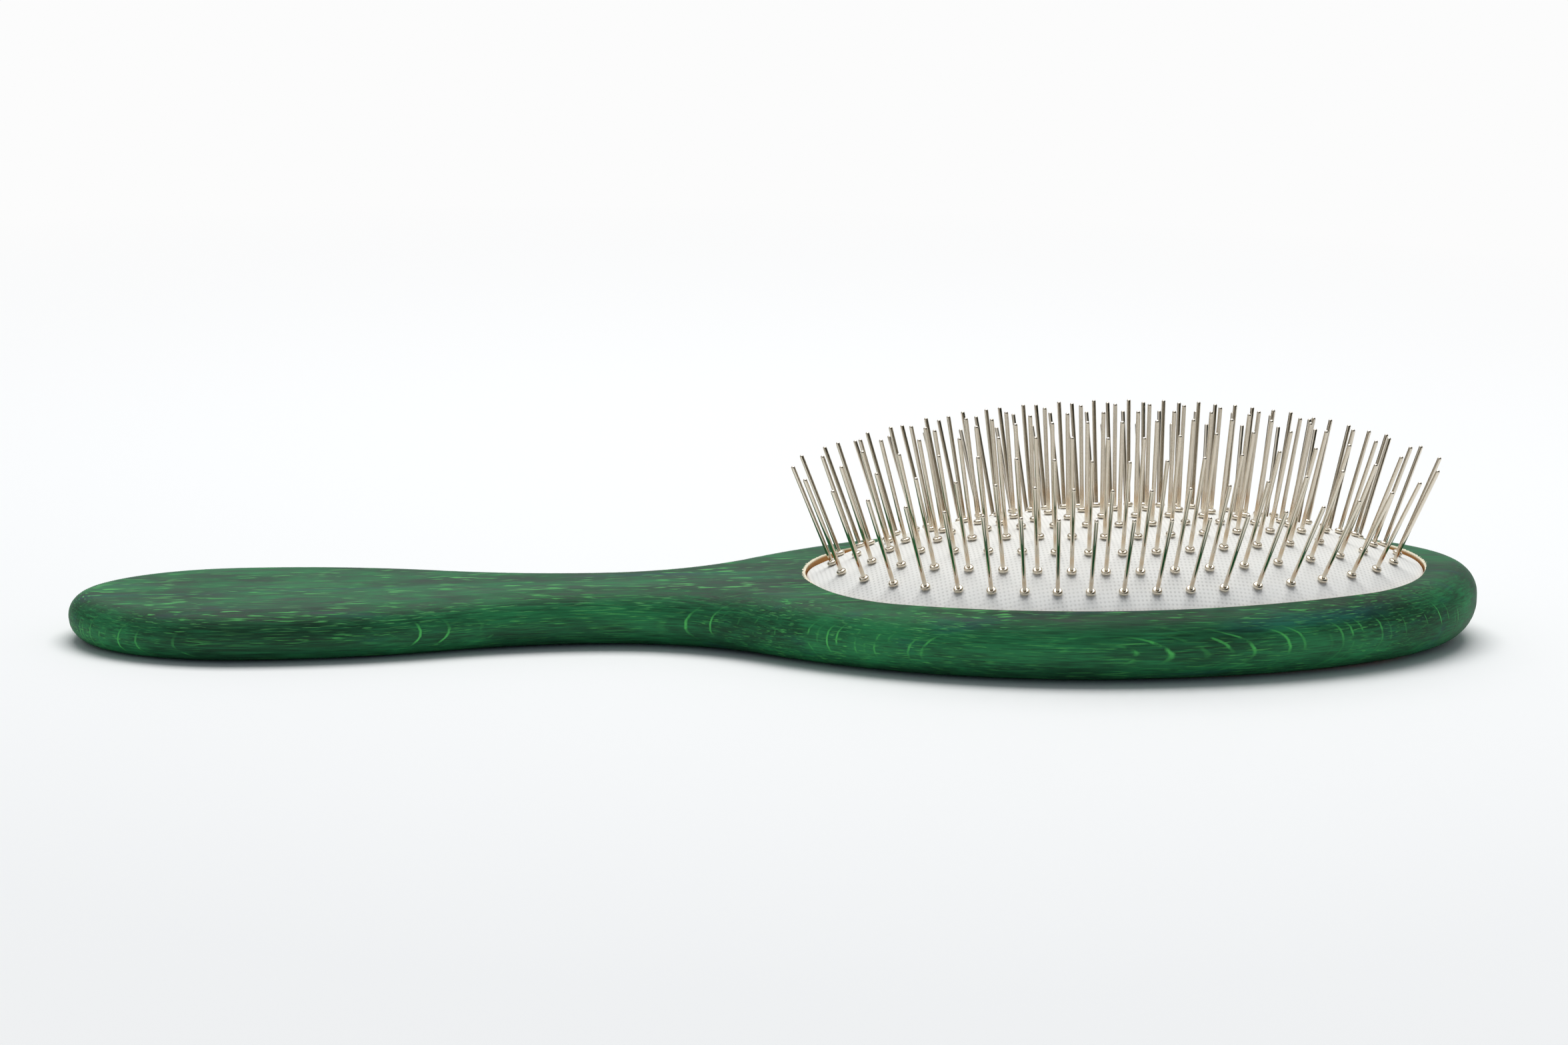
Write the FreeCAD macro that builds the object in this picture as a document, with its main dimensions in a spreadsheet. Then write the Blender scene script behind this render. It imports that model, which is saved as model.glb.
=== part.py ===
import FreeCAD, Part
import math
import os
import Sketcher

# Pin brush: a one-piece wooden back with a handle, a domed rubber cushion held by its flange in a groove
# of the back's pocket, and rings of steel wire pins that stand square to the cushion.
#
# Every sub-part is drawn in the head's own frame: X runs from the handle to the head, Z is the way the pins
# point, and the origin is the centre of the pocket's mouth, in the plane of the top face. The back tapers,
# so each sub-part's Placement then turns it until the brush lies flat on its back, at Z = 0.

os.makedirs("parts", exist_ok=True)
doc = FreeCAD.newDocument("pin_brush")

# Driving dimensions, in millimetres
SIZES = [
    ("head_reach", 62.2, "centre of the pocket to the front of the head"),
    ("head_width", 67.0, "head at its widest"),
    ("head_wide_back", 6.0, "widest section, behind the centre of the pocket"),
    ("shoulder_radius", 100.0, "convex side of the head behind its widest section"),
    ("neck_back", 80.0, "narrowest section, behind the widest one"),
    ("neck_width", 17.6, "neck at its narrowest"),
    ("flare_radius", 100.0, "concave side between the neck and the grip"),
    ("grip_back", 62.0, "widest section of the grip, behind the neck"),
    ("grip_width", 35.0, "grip at its widest"),
    ("end_reach", 28.0, "end of the handle, behind the widest section of the grip"),
    ("end_thickness", 7.9, "board at the end of the handle"),
    ("front_thickness", 13.0, "board at the front of the head"),
    ("pocket_length", 105.7, "mouth of the pocket, along X"),
    ("pocket_width", 56.0, "mouth of the pocket, along Y"),
    ("pocket_end_radius", 22.0, "round ends of the pocket's mouth"),
    ("pocket_depth", 7.4, "floor of the pocket below the top face"),
    ("groove_top", 2.6, "upper edge of the flange groove below the top face"),
    ("groove_height", 2.2, "width of the flange groove"),
    ("groove_depth", 1.8, "how far the groove is cut into the pocket's wall"),
    ("cushion_wall", 1.8, "rubber sheet"),
    ("cushion_play", 0.15, "clearance between the rubber and the wood"),
    ("flange_reach", 1.5, "how far the flange stands out into the groove"),
    ("flange_height", 1.9, "thickness of the flange"),
    ("dome_rise", 9.4, "crown of the cushion above its edge"),
    ("dome_sink", 0.6, "edge of the cushion below the top face"),
    ("pin_diameter", 0.72, "steel wire"),
    ("pin_length", 18.5, "from the face of the cushion to the tip"),
    ("collar_diameter", 1.7, "bead upset on the wire, on the face of the cushion"),
    ("collar_height", 0.8, "the same bead, along the wire"),
    ("collar_seat", 0.05, "gap between the bead and the rubber"),
    ("foot_diameter", 2.2, "flat head of the pin, under the rubber"),
    ("foot_height", 0.4, "thickness of that head"),
    ("ring_side_gap", 3.4, "outer ring of pins to the long side of the mouth"),
    ("ring_end_gap", 4.65, "outer ring of pins to the end of the mouth"),
    ("ring_end_pitch", 4.1, "from one ring to the next, along X"),
    ("row_end_gap", 11.64, "middle row of pins to the end of the inner ring"),
]

# How many pins stand in each ring, from the outer one inwards, and in the straight row along the middle
RING_COUNTS = (40, 34, 30, 26, 22)
ROW_COUNT = 8

# Edges of the board, as parts of its thickness at each place: together they leave a narrow band between them
UPPER_ROUND = 0.43    # radius of the edge on the side of the pins
LOWER_ROUND = 0.53    # radius of the edge at the back, which is rounder

# Shape of the cushion and of the pattern of pins, as plain ratios
DOME_POWER = 1.3      # fullness of the crown: its height falls with the squared radius to this power
ROW_CROWD = 0.94      # the rings close up towards the rim as the sine of this angle does, in radians
RING_FULLNESS = 2.0   # exponent of the outer ring's oval: 2 is an ellipse
RING_TAPER = 0.18     # each ring further in is more pointed by this much
RING_STAGGER = 0.39   # and each ring starts this part of a pitch behind the one outside it
RING_START = 0.46     # the outer ring starts this part of a pitch past the middle of its side
ROW_START = 0.06      # the middle row sits this part of a pitch off the centre
PITCH_DRIFT = 0.08    # the pitch is this much wider on two opposite quarters of a ring, closer on the others

sheet = doc.addObject("Spreadsheet::Sheet", "Sizes")
for row, (alias, value, note) in enumerate(SIZES, start=1):
    sheet.set(f"A{row}", alias)
    sheet.set(f"B{row}", str(value))
    sheet.set(f"C{row}", note)
    sheet.setAlias(f"B{row}", alias)
doc.recompute()


def size(alias):
    return float(sheet.get(alias))


# Places along X that several features share, as expressions of the sheet and as numbers
WIDE_X = -size("head_wide_back")
NECK_X = WIDE_X - size("neck_back")
GRIP_X = NECK_X - size("grip_back")
END_X = GRIP_X - size("end_reach")
NECK_TO_ORIGIN = "Sizes.head_wide_back + Sizes.neck_back"
GRIP_TO_ORIGIN = NECK_TO_ORIGIN + " + Sizes.grip_back"
END_TO_ORIGIN = GRIP_TO_ORIGIN + " + Sizes.end_reach"


# Sketching

def new_body(name):
    return doc.addObject("PartDesign::Body", name)


def new_sketch(body, name, plane, lift=None):
    """A sketch on one of the body's own origin planes, raised by an expression where one is given."""
    sketch = body.newObject("Sketcher::SketchObject", name)
    base = [f for f in body.Origin.OriginFeatures if f.Role == plane][0]
    sketch.AttachmentSupport = [(base, "")]
    sketch.MapMode = "FlatFace"
    if lift:
        sketch.setExpression("AttachmentOffset.Base.z", lift)
    return sketch


def constrain(sketch, kind, *where, expression=None):
    """Adds a constraint, and drives it by an expression of the sheet where one is given."""
    index = sketch.addConstraint(Sketcher.Constraint(kind, *where))
    if expression:
        sketch.setExpression(f"Constraints[{index}]", expression)
    return index


def arc(sketch, centre_x, centre_y, radius, start_deg, end_deg):
    circle = Part.Circle(FreeCAD.Vector(centre_x, centre_y, 0), FreeCAD.Vector(0, 0, 1), radius)
    return sketch.addGeometry(Part.ArcOfCircle(circle, math.radians(start_deg), math.radians(end_deg)), False)


def line(sketch, x0, y0, x1, y1):
    return sketch.addGeometry(Part.LineSegment(FreeCAD.Vector(x0, y0, 0), FreeCAD.Vector(x1, y1, 0)), False)


def half_ellipse(sketch, centre_x, reach, half_width, front):
    """Half of an ellipse, longer along X than across, bulging to the front (+X) or to the back."""
    start = -math.pi / 2 if front else math.pi / 2
    ellipse = Part.Ellipse(FreeCAD.Vector(centre_x, 0, 0), reach, half_width)
    return sketch.addGeometry(Part.ArcOfEllipse(ellipse, start, start + math.pi), False)


def tangent_radii(step, rise, first_radius):
    """The second radius of an S-bend of two arcs that starts and ends along X, and the turn of each arc."""
    both = (step ** 2 + rise ** 2) / (2 * rise)
    return both - first_radius, math.degrees(math.asin(step / both))


# Wooden back: outline, taper, rounded edges, pocket and groove

def outline_sketch(body):
    """Plan of the board: half-ellipses at the head's front and the handle's end, and two S-bends a side."""
    sketch = new_sketch(body, "Outline", "XY_Plane")
    head_half = size("head_width") / 2
    neck_half = size("neck_width") / 2
    grip_half = size("grip_width") / 2
    shoulder = size("shoulder_radius")
    flare = size("flare_radius")
    neck, head_turn = tangent_radii(size("neck_back"), head_half - neck_half, shoulder)
    grip, grip_turn = tangent_radii(size("grip_back"), grip_half - neck_half, flare)

    front = half_ellipse(sketch, WIDE_X, size("head_reach") - WIDE_X, head_half, True)
    end = half_ellipse(sketch, GRIP_X, GRIP_X - END_X, grip_half, False)
    for curve, reach, width, to_origin in (
        (front, "Sizes.head_reach + Sizes.head_wide_back", "Sizes.head_width", "Sizes.head_wide_back"),
        (end, "Sizes.end_reach", "Sizes.grip_width", GRIP_TO_ORIGIN),
    ):
        sketch.exposeInternalGeometry(curve)
        major, minor = curve_axes(sketch, curve)
        constrain(sketch, "Horizontal", major)
        constrain(sketch, "Distance", major, length_of(sketch, major), expression=f"2 * ({reach})")
        constrain(sketch, "Distance", minor, length_of(sketch, minor), expression=width)
        constrain(sketch, "PointOnObject", curve, 3, -1)
        constrain(sketch, "DistanceX", curve, 3, -1, 1, -sketch.getPoint(curve, 3).x, expression=to_origin)
        constrain(sketch, "Vertical", curve, 1, curve, 3)
        constrain(sketch, "Vertical", curve, 2, curve, 3)

    for side in (1, -1):
        def mirrored(centre_y, radius, centre_x, from_deg, to_deg):
            first, last = (from_deg, to_deg) if side > 0 else (-to_deg, -from_deg)
            return arc(sketch, centre_x, side * centre_y, radius, first, last)

        # Each arc is stored anticlockwise, so its start and end swap on the mirrored side
        first, last = (1, 2) if side > 0 else (2, 1)
        shoulder_arc = mirrored(head_half - shoulder, shoulder, WIDE_X, 90, 90 + head_turn)
        neck_arc = mirrored(neck_half + neck, neck, NECK_X, -90, -90 + head_turn)
        flare_arc = mirrored(neck_half + flare, flare, NECK_X, -90 - grip_turn, -90)
        grip_arc = mirrored(grip_half - grip, grip, GRIP_X, 90 - grip_turn, 90)
        front_tip = 2 if side > 0 else 1
        end_tip = 1 if side > 0 else 2

        constrain(sketch, "Coincident", shoulder_arc, first, front, front_tip)
        constrain(sketch, "Vertical", shoulder_arc, first, shoulder_arc, 3)
        constrain(sketch, "Radius", shoulder_arc, shoulder, expression="Sizes.shoulder_radius")
        constrain(sketch, "Tangent", shoulder_arc, last, neck_arc, last)
        constrain(sketch, "Vertical", neck_arc, first, neck_arc, 3)
        constrain(sketch, "DistanceX", neck_arc, first, -1, 1, -NECK_X, expression=NECK_TO_ORIGIN)
        if side > 0:
            constrain(sketch, "DistanceY", -1, 1, neck_arc, first, neck_half, expression="Sizes.neck_width / 2")
        else:
            constrain(sketch, "DistanceY", neck_arc, first, -1, 1, neck_half, expression="Sizes.neck_width / 2")
        constrain(sketch, "Coincident", flare_arc, last, neck_arc, first)
        constrain(sketch, "Vertical", flare_arc, last, flare_arc, 3)
        constrain(sketch, "Radius", flare_arc, flare, expression="Sizes.flare_radius")
        constrain(sketch, "Tangent", flare_arc, first, grip_arc, first)
        constrain(sketch, "Coincident", grip_arc, last, end, end_tip)
        constrain(sketch, "Vertical", grip_arc, last, grip_arc, 3)
    return sketch


def length_of(sketch, index):
    return sketch.Geometry[index].length()


def curve_axes(sketch, curve):
    """The major and minor axis lines that belong to an ellipse of the sketch."""
    found = {}
    for constraint in sketch.Constraints:
        if constraint.Type == "InternalAlignment" and constraint.Second == curve:
            if sketch.Geometry[constraint.First].TypeId == "Part::GeomLineSegment":
                found[constraint.First] = length_of(sketch, constraint.First)
    long_first = sorted(found, key=found.get, reverse=True)
    return long_first[0], long_first[1]


def oval_sketch(body, name, grow, lift=None):
    """The pocket's mouth, four tangent arcs, set out or in by an expression of the sheet."""
    sketch = new_sketch(body, name, "XY_Plane", lift)
    out = value_of(grow)
    half_length = size("pocket_length") / 2 + out
    half_width = size("pocket_width") / 2 + out
    end_radius = size("pocket_end_radius") + out
    centre = half_length - end_radius
    side_radius = (centre ** 2 + half_width ** 2 - end_radius ** 2) / (2 * (half_width - end_radius))
    turn = math.degrees(math.atan2(side_radius - half_width, centre))
    right = arc(sketch, centre, 0, end_radius, -turn, turn)
    top = arc(sketch, 0, half_width - side_radius, side_radius, turn, 180 - turn)
    left = arc(sketch, -centre, 0, end_radius, 180 - turn, 180 + turn)
    bottom = arc(sketch, 0, side_radius - half_width, side_radius, 180 + turn, 360 - turn)

    to_centre = "Sizes.pocket_length / 2 - Sizes.pocket_end_radius"
    constrain(sketch, "Radius", right, end_radius, expression=f"Sizes.pocket_end_radius + {grow}")
    constrain(sketch, "Equal", right, left)
    constrain(sketch, "PointOnObject", right, 3, -1)
    constrain(sketch, "PointOnObject", left, 3, -1)
    constrain(sketch, "DistanceX", -1, 1, right, 3, centre, expression=to_centre)
    constrain(sketch, "DistanceX", left, 3, -1, 1, centre, expression=to_centre)
    for one, other in ((right, top), (top, left), (left, bottom), (bottom, right)):
        constrain(sketch, "Tangent", one, 2, other, 1)
    constrain(sketch, "Radius", top, side_radius, expression=(
        "((Sizes.pocket_length / 2 - Sizes.pocket_end_radius)^2"
        " + (Sizes.pocket_width / 2)^2 - Sizes.pocket_end_radius^2)"
        f" / (2 * (Sizes.pocket_width / 2 - Sizes.pocket_end_radius)) + {grow}"))
    constrain(sketch, "Equal", top, bottom)
    return sketch


def value_of(expression):
    """A length given as an expression of the sheet, as a number."""
    return float(sheet.evalExpression(expression.replace("Sizes.", "")))


def pad(body, name, sketch, length, downward=False):
    feature = body.newObject("PartDesign::Pad", name)
    feature.Profile = sketch
    feature.Reversed = downward
    feature.setExpression("Length", length)
    return feature


def pocket_cut(body, name, sketch, length):
    """A cut that runs the same way to both sides of its sketch."""
    feature = body.newObject("PartDesign::Pocket", name)
    feature.Profile = sketch
    feature.Midplane = True
    feature.setExpression("Length", length)
    return feature


def blank():
    """The sawn board: the outline, thicker at the head than at the end of the handle."""
    body = new_body("Blank")
    outline = outline_sketch(body)
    pad(body, "Board", outline, "Sizes.front_thickness + 5", downward=True)
    doc.recompute()
    full = body.Shape.Volume

    taper = new_sketch(body, "Taper", "XZ_Plane")
    front_x = size("head_reach")
    deep = -2 * size("front_thickness")
    front_z = -size("front_thickness")
    end_z = -size("end_thickness")
    back_line = line(taper, front_x, front_z, END_X, end_z)
    end_side = line(taper, END_X, end_z, END_X, deep)
    under = line(taper, END_X, deep, front_x, deep)
    front_side = line(taper, front_x, deep, front_x, front_z)
    for one, other in ((back_line, end_side), (end_side, under), (under, front_side), (front_side, back_line)):
        constrain(taper, "Coincident", one, 2, other, 1)
    constrain(taper, "Vertical", end_side)
    constrain(taper, "Vertical", front_side)
    constrain(taper, "Horizontal", under)
    constrain(taper, "DistanceX", -1, 1, back_line, 1, front_x, expression="Sizes.head_reach")
    constrain(taper, "DistanceX", back_line, 2, -1, 1, -END_X, expression=END_TO_ORIGIN)
    constrain(taper, "DistanceY", back_line, 1, -1, 1, -front_z, expression="Sizes.front_thickness")
    constrain(taper, "DistanceY", back_line, 2, -1, 1, -end_z, expression="Sizes.end_thickness")
    constrain(taper, "DistanceY", under, 1, -1, 1, -deep, expression="2 * Sizes.front_thickness")
    cut = pocket_cut(body, "TaperedBack", taper, "2 * Sizes.head_width")
    body.Tip = cut
    doc.recompute()
    if not body.Shape.Volume < full:
        raise RuntimeError("the taper cut nothing from the board")
    return body


def thickness_at(x):
    """The tapered board at a place along X."""
    share = (x - END_X) / (size("head_reach") - END_X)
    return size("end_thickness") + share * (size("front_thickness") - size("end_thickness"))


def from_the_front(wire):
    """The edges of a face's outline in turn, from its foremost start, each with its first and last corner."""
    edges = wire.OrderedEdges
    found = []
    for edge, following in zip(edges, edges[1:] + edges[:1]):
        last = [v for v in edge.Vertexes if any(v.isSame(other) for other in following.Vertexes)][0]
        first = [v for v in edge.Vertexes if not v.isSame(last)][0]
        found.append((edge, first, last))
    lead = max(range(len(found)), key=lambda i: found[i][1].X + found[i][0].CenterOfMass.x)
    return found[lead:] + found[:lead]


def rounded(body):
    """The board with both its edges rounded over; each radius follows the taper all the way round."""
    feature = doc.addObject("Part::Fillet", "RoundedBoard")
    feature.Base = body
    board = body.Shape
    radii = []
    for face in board.Faces:
        if face.Surface.TypeId != "Part::GeomPlane":
            continue
        share = UPPER_ROUND if face.CenterOfMass.z > -size("end_thickness") / 2 else LOWER_ROUND
        for edge, first, last in from_the_front(face.OuterWire):
            number = [n for n, other in enumerate(board.Edges, start=1) if other.isSame(edge)][0]
            radii.append((number, share * thickness_at(first.X), share * thickness_at(last.X)))
    feature.Edges = radii
    return feature


def pocket_tool():
    """What is cut out of the head: the pocket, and the groove that runs round its wall."""
    body = new_body("PocketTool")
    mouth = oval_sketch(body, "Mouth", "0", lift="Sizes.cushion_wall")
    pad(body, "Pocket", mouth, "Sizes.pocket_depth + Sizes.cushion_wall", downward=True)
    groove = oval_sketch(body, "GrooveOutline", "Sizes.groove_depth", lift="-Sizes.groove_top")
    ring = pad(body, "Groove", groove, "Sizes.groove_height", downward=True)
    body.Tip = ring
    return body


def wooden_back():
    board = rounded(blank())
    tool = pocket_tool()
    back = doc.addObject("Part::Cut", "WoodenBack")
    back.Base = board
    back.Tool = tool
    back.Label = "wooden_back"
    return back


# Cushion: a domed rubber sheet with a skirt, and a flange that sits in the groove

def dome_height(x, y):
    """Face of the cushion over the plane of the top face."""
    squared = (2 * x / size("pocket_length")) ** 2 + (2 * y / size("pocket_width")) ** 2
    return size("dome_rise") * (1 - squared ** DOME_POWER) - size("dome_sink")


def dome_normal(x, y):
    """Unit vector square to the face of the cushion."""
    across = size("pocket_length") / 2
    over = size("pocket_width") / 2
    squared = (x / across) ** 2 + (y / over) ** 2
    fall = 2 * size("dome_rise") * DOME_POWER * squared ** (DOME_POWER - 1)
    return FreeCAD.Vector(fall * x / across ** 2, fall * y / over ** 2, 1).normalize()


def under_dome(sink):
    """Everything below the cushion's face, lowered by sink: a smooth patch, extruded down."""
    columns = 17
    rows = 13
    reach_x = 0.56 * size("pocket_length")
    reach_y = 0.56 * size("pocket_width")
    grid = []
    for i in range(columns):
        x = reach_x * (2 * i / (columns - 1) - 1)
        points = []
        for j in range(rows):
            y = reach_y * (2 * j / (rows - 1) - 1)
            points.append(FreeCAD.Vector(x, y, dome_height(x, y) - sink))
        grid.append(points)
    surface = Part.BSplineSurface()
    surface.interpolate(grid)
    depth = size("dome_rise") + size("front_thickness") + size("cushion_wall")
    return surface.toShape().extrude(FreeCAD.Vector(0, 0, -depth))


def oval_prism(grow, low, high):
    """The pocket's mouth set out by grow, as a prism from low to high."""
    half_length = size("pocket_length") / 2 + grow
    half_width = size("pocket_width") / 2 + grow
    end_radius = size("pocket_end_radius") + grow
    centre = half_length - end_radius
    side_radius = (centre ** 2 + half_width ** 2 - end_radius ** 2) / (2 * (half_width - end_radius))
    turn = math.degrees(math.atan2(side_radius - half_width, centre))
    axis = FreeCAD.Vector(0, 0, 1)
    edges = []
    for x, y, radius, start, stop in (
        (centre, 0, end_radius, -turn, turn),
        (0, half_width - side_radius, side_radius, turn, 180 - turn),
        (-centre, 0, end_radius, 180 - turn, 180 + turn),
        (0, side_radius - half_width, side_radius, 180 + turn, 360 - turn),
    ):
        edges.append(Part.makeCircle(radius, FreeCAD.Vector(x, y, low), axis, start, stop))
    return Part.Face(Part.Wire(edges)).extrude(FreeCAD.Vector(0, 0, high - low))


def cushion(stations):
    """The sheet follows the dome; its skirt turns down the pocket's wall and out into the groove."""
    wall = size("cushion_wall")
    play = size("cushion_play")
    flange_low = -size("groove_top") - size("groove_height")
    flange_high = flange_low + size("flange_height")
    top = size("dome_rise") + wall
    below_face = under_dome(0)
    disc = oval_prism(-play, flange_low, top).common(below_face)
    hollow = oval_prism(-play - wall, flange_low - wall, top).common(under_dome(wall))
    flange = oval_prism(size("flange_reach"), flange_low, flange_high).cut(
        oval_prism(-play - wall / 2, flange_low, flange_high))
    rubber = disc.cut(hollow).fuse(flange).removeSplitter()
    holes = []
    for x, y in stations:
        axis = dome_normal(x, y)
        middle = FreeCAD.Vector(x, y, dome_height(x, y))
        holes.append(Part.makeCylinder(size("pin_diameter") / 2, 4 * wall, middle - axis * 2.5 * wall, axis))
    rubber = rubber.cut(holes)
    feature = doc.addObject("Part::Feature", "Cushion")
    feature.Shape = rubber
    feature.Label = "cushion_pad"
    return feature


# Pins

def pin():
    """One cold-headed pin along Z, with the face of the cushion at Z = 0: foot, bead, shank, round tip."""
    body = new_body("Pin")
    profile = new_sketch(body, "Profile", "XZ_Plane")
    wire = size("pin_diameter") / 2
    foot = size("foot_diameter") / 2
    foot_top = -size("cushion_wall") - size("collar_seat")
    foot_low = foot_top - size("foot_height")
    bead_low = size("collar_seat")
    bead_high = bead_low + size("collar_height")
    bead_out = size("collar_diameter") / 2 - wire
    tip = size("pin_length")
    bead_radius = (bead_out ** 2 + (size("collar_height") / 2) ** 2) / (2 * bead_out)
    bead_middle = (bead_low + bead_high) / 2
    bead_x = wire + bead_out - bead_radius
    bead_turn = math.degrees(math.atan2(size("collar_height") / 2, wire - bead_x))

    under = line(profile, 0, foot_low, foot, foot_low)
    rim = line(profile, foot, foot_low, foot, foot_top)
    over = line(profile, foot, foot_top, wire, foot_top)
    grip = line(profile, wire, foot_top, wire, bead_low)
    bead = arc(profile, bead_x, bead_middle, bead_radius, -bead_turn, bead_turn)
    shank = line(profile, wire, bead_high, wire, tip - wire)
    nose = arc(profile, 0, tip - wire, wire, 0, 90)
    core = line(profile, 0, tip, 0, foot_low)
    for one, one_end, other, other_end in (
        (under, 2, rim, 1), (rim, 2, over, 1), (over, 2, grip, 1), (grip, 2, bead, 1), (bead, 2, shank, 1),
        (shank, 2, nose, 1), (nose, 2, core, 1), (core, 2, under, 1),
    ):
        constrain(profile, "Coincident", one, one_end, other, other_end)
    for flat in (under, over):
        constrain(profile, "Horizontal", flat)
    for upright in (rim, grip, shank, core):
        constrain(profile, "Vertical", upright)
    constrain(profile, "PointOnObject", core, 1, -2)
    constrain(profile, "PointOnObject", nose, 3, -2)
    constrain(profile, "Radius", nose, wire, expression="Sizes.pin_diameter / 2")
    constrain(profile, "Horizontal", nose, 3, nose, 1)
    constrain(profile, "DistanceY", -1, 1, core, 1, tip, expression="Sizes.pin_length")
    constrain(profile, "DistanceX", under, foot, expression="Sizes.foot_diameter / 2")
    constrain(profile, "DistanceY", rim, foot_top - foot_low, expression="Sizes.foot_height")
    constrain(profile, "DistanceY", -1, 1, grip, 2, bead_low, expression="Sizes.collar_seat")
    constrain(profile, "DistanceY", over, 2, -1, 1, -foot_top,
              expression="Sizes.cushion_wall + Sizes.collar_seat")
    constrain(profile, "DistanceX", -1, 1, grip, 1, wire, expression="Sizes.pin_diameter / 2")
    constrain(profile, "DistanceY", bead, 1, bead, 2, bead_high - bead_low, expression="Sizes.collar_height")
    constrain(profile, "Radius", bead, bead_radius, expression=(
        "((Sizes.collar_diameter / 2 - Sizes.pin_diameter / 2)^2 + (Sizes.collar_height / 2)^2)"
        " / (Sizes.collar_diameter - Sizes.pin_diameter)"))
    turned = body.newObject("PartDesign::Revolution", "Turned")
    turned.Profile = profile
    turned.ReferenceAxis = (profile, ["V_Axis"])
    turned.Angle = 360
    body.Tip = turned
    return body


def ring_reach(ring):
    """Half the length of a ring of pins; ring 0 is the outer one."""
    return size("pocket_length") / 2 - size("ring_end_gap") - ring * size("ring_end_pitch")


def ring_places(ring, count):
    """Where the pins of a ring stand, as X and Y."""
    side = size("pocket_width") / 2 - size("ring_side_gap")
    half_width = side * math.sin(ROW_CROWD * (1 - ring / len(RING_COUNTS))) / math.sin(ROW_CROWD)
    reach = ring_reach(ring)
    power = 2 / (RING_FULLNESS - ring * RING_TAPER)

    oval = []
    walked = [0.0]
    for step in range(1441):
        turn = 2 * math.pi * step / 1440 - math.pi / 2
        x = reach * math.copysign(abs(math.cos(turn)) ** power, math.cos(turn))
        y = half_width * math.copysign(abs(math.sin(turn)) ** power, math.sin(turn))
        if oval:
            walked.append(walked[-1] + math.hypot(x - oval[-1][0], y - oval[-1][1]))
        oval.append((x, y))

    places = []
    for pin_number in range(count):
        share = (pin_number + RING_START - ring * RING_STAGGER) / count
        drift = math.sin(4 * math.pi * share + math.pi / 4) - math.sin(math.pi / 4)
        share -= PITCH_DRIFT * drift / (4 * math.pi)
        target = (share % 1) * walked[-1]
        index = max(i for i, length in enumerate(walked[:-1]) if length <= target)
        part = (target - walked[index]) / (walked[index + 1] - walked[index])
        (x0, y0), (x1, y1) = oval[index], oval[index + 1]
        places.append((x0 + part * (x1 - x0), y0 + part * (y1 - y0)))
    return places


def row_places():
    """The straight row along the middle of the cushion, short of the ends of the inner ring."""
    reach = ring_reach(len(RING_COUNTS) - 1) - size("row_end_gap")
    pitch = 2 * reach / (ROW_COUNT - 1)
    places = []
    for pin_number in range(ROW_COUNT):
        places.append((pitch * (pin_number + ROW_START) - reach, 0.0))
    return places


def stand_pins(name, model, places):
    """Copies of one pin, each square to the cushion where it stands."""
    pins = []
    for x, y in places:
        copy = model.copy()
        turn = FreeCAD.Rotation(FreeCAD.Vector(0, 0, 1), dome_normal(x, y))
        copy.Placement = FreeCAD.Placement(FreeCAD.Vector(x, y, dome_height(x, y)), turn)
        pins.append(copy)
    group = doc.addObject("Part::Feature", name)
    group.Shape = Part.makeCompound(pins)
    group.Label = name
    return group


# Assembly

def resting(back):
    """The placement that lays the tapered back flat on Z = 0 with the brush centred along X."""
    slope = (size("front_thickness") - size("end_thickness")) / (size("head_reach") - END_X)
    under_origin = size("front_thickness") - slope * size("head_reach")
    turn = FreeCAD.Rotation(FreeCAD.Vector(0, 1, 0), -math.degrees(math.atan(slope)))
    laid = back.Shape.copy()
    laid.Placement = FreeCAD.Placement(FreeCAD.Vector(0, 0, 0), turn)
    box = laid.optimalBoundingBox(False)
    lift = under_origin * math.cos(math.atan(slope))
    return FreeCAD.Placement(FreeCAD.Vector(-(box.XMin + box.XMax) / 2, 0, lift), turn)


back = wooden_back()
doc.recompute()
model = pin()
doc.recompute()

stations = {f"pins_ring_{ring + 1}": ring_places(ring, count) for ring, count in enumerate(RING_COUNTS)}
stations["pins_middle_row"] = row_places()
every_place = [place for places in stations.values() for place in places]
nodes = [back, cushion(every_place)]
for name, places in stations.items():
    nodes.append(stand_pins(name, model.Shape, places))

laid_flat = resting(back)
for node in nodes:
    node.Placement = laid_flat
doc.recompute()

for item in doc.Objects:
    if "Invalid" in item.State or "Error" in item.State:
        raise RuntimeError(f"{item.Name}: {item.State}")
for node in nodes:
    if node.Shape.isNull() or not node.Shape.isValid():
        raise RuntimeError(f"{node.Label}: its shape isn't valid")
    node.Shape.exportStep(f"parts/{node.Label}.step")
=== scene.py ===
import bmesh
import bpy
import math
from mathutils import Matrix, Vector


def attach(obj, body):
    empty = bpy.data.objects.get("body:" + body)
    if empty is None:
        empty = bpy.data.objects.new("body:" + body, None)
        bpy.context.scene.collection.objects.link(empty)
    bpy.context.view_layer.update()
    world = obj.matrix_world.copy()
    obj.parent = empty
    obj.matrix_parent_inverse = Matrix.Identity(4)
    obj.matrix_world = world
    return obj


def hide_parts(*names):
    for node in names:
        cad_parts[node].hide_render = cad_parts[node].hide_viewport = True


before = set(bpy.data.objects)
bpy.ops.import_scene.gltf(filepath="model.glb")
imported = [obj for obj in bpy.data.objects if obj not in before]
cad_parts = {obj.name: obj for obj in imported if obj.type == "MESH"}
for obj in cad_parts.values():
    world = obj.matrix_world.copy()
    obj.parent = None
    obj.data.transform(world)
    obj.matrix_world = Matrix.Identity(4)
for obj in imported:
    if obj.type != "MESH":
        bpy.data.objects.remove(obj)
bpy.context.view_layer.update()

MM = 0.001

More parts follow.
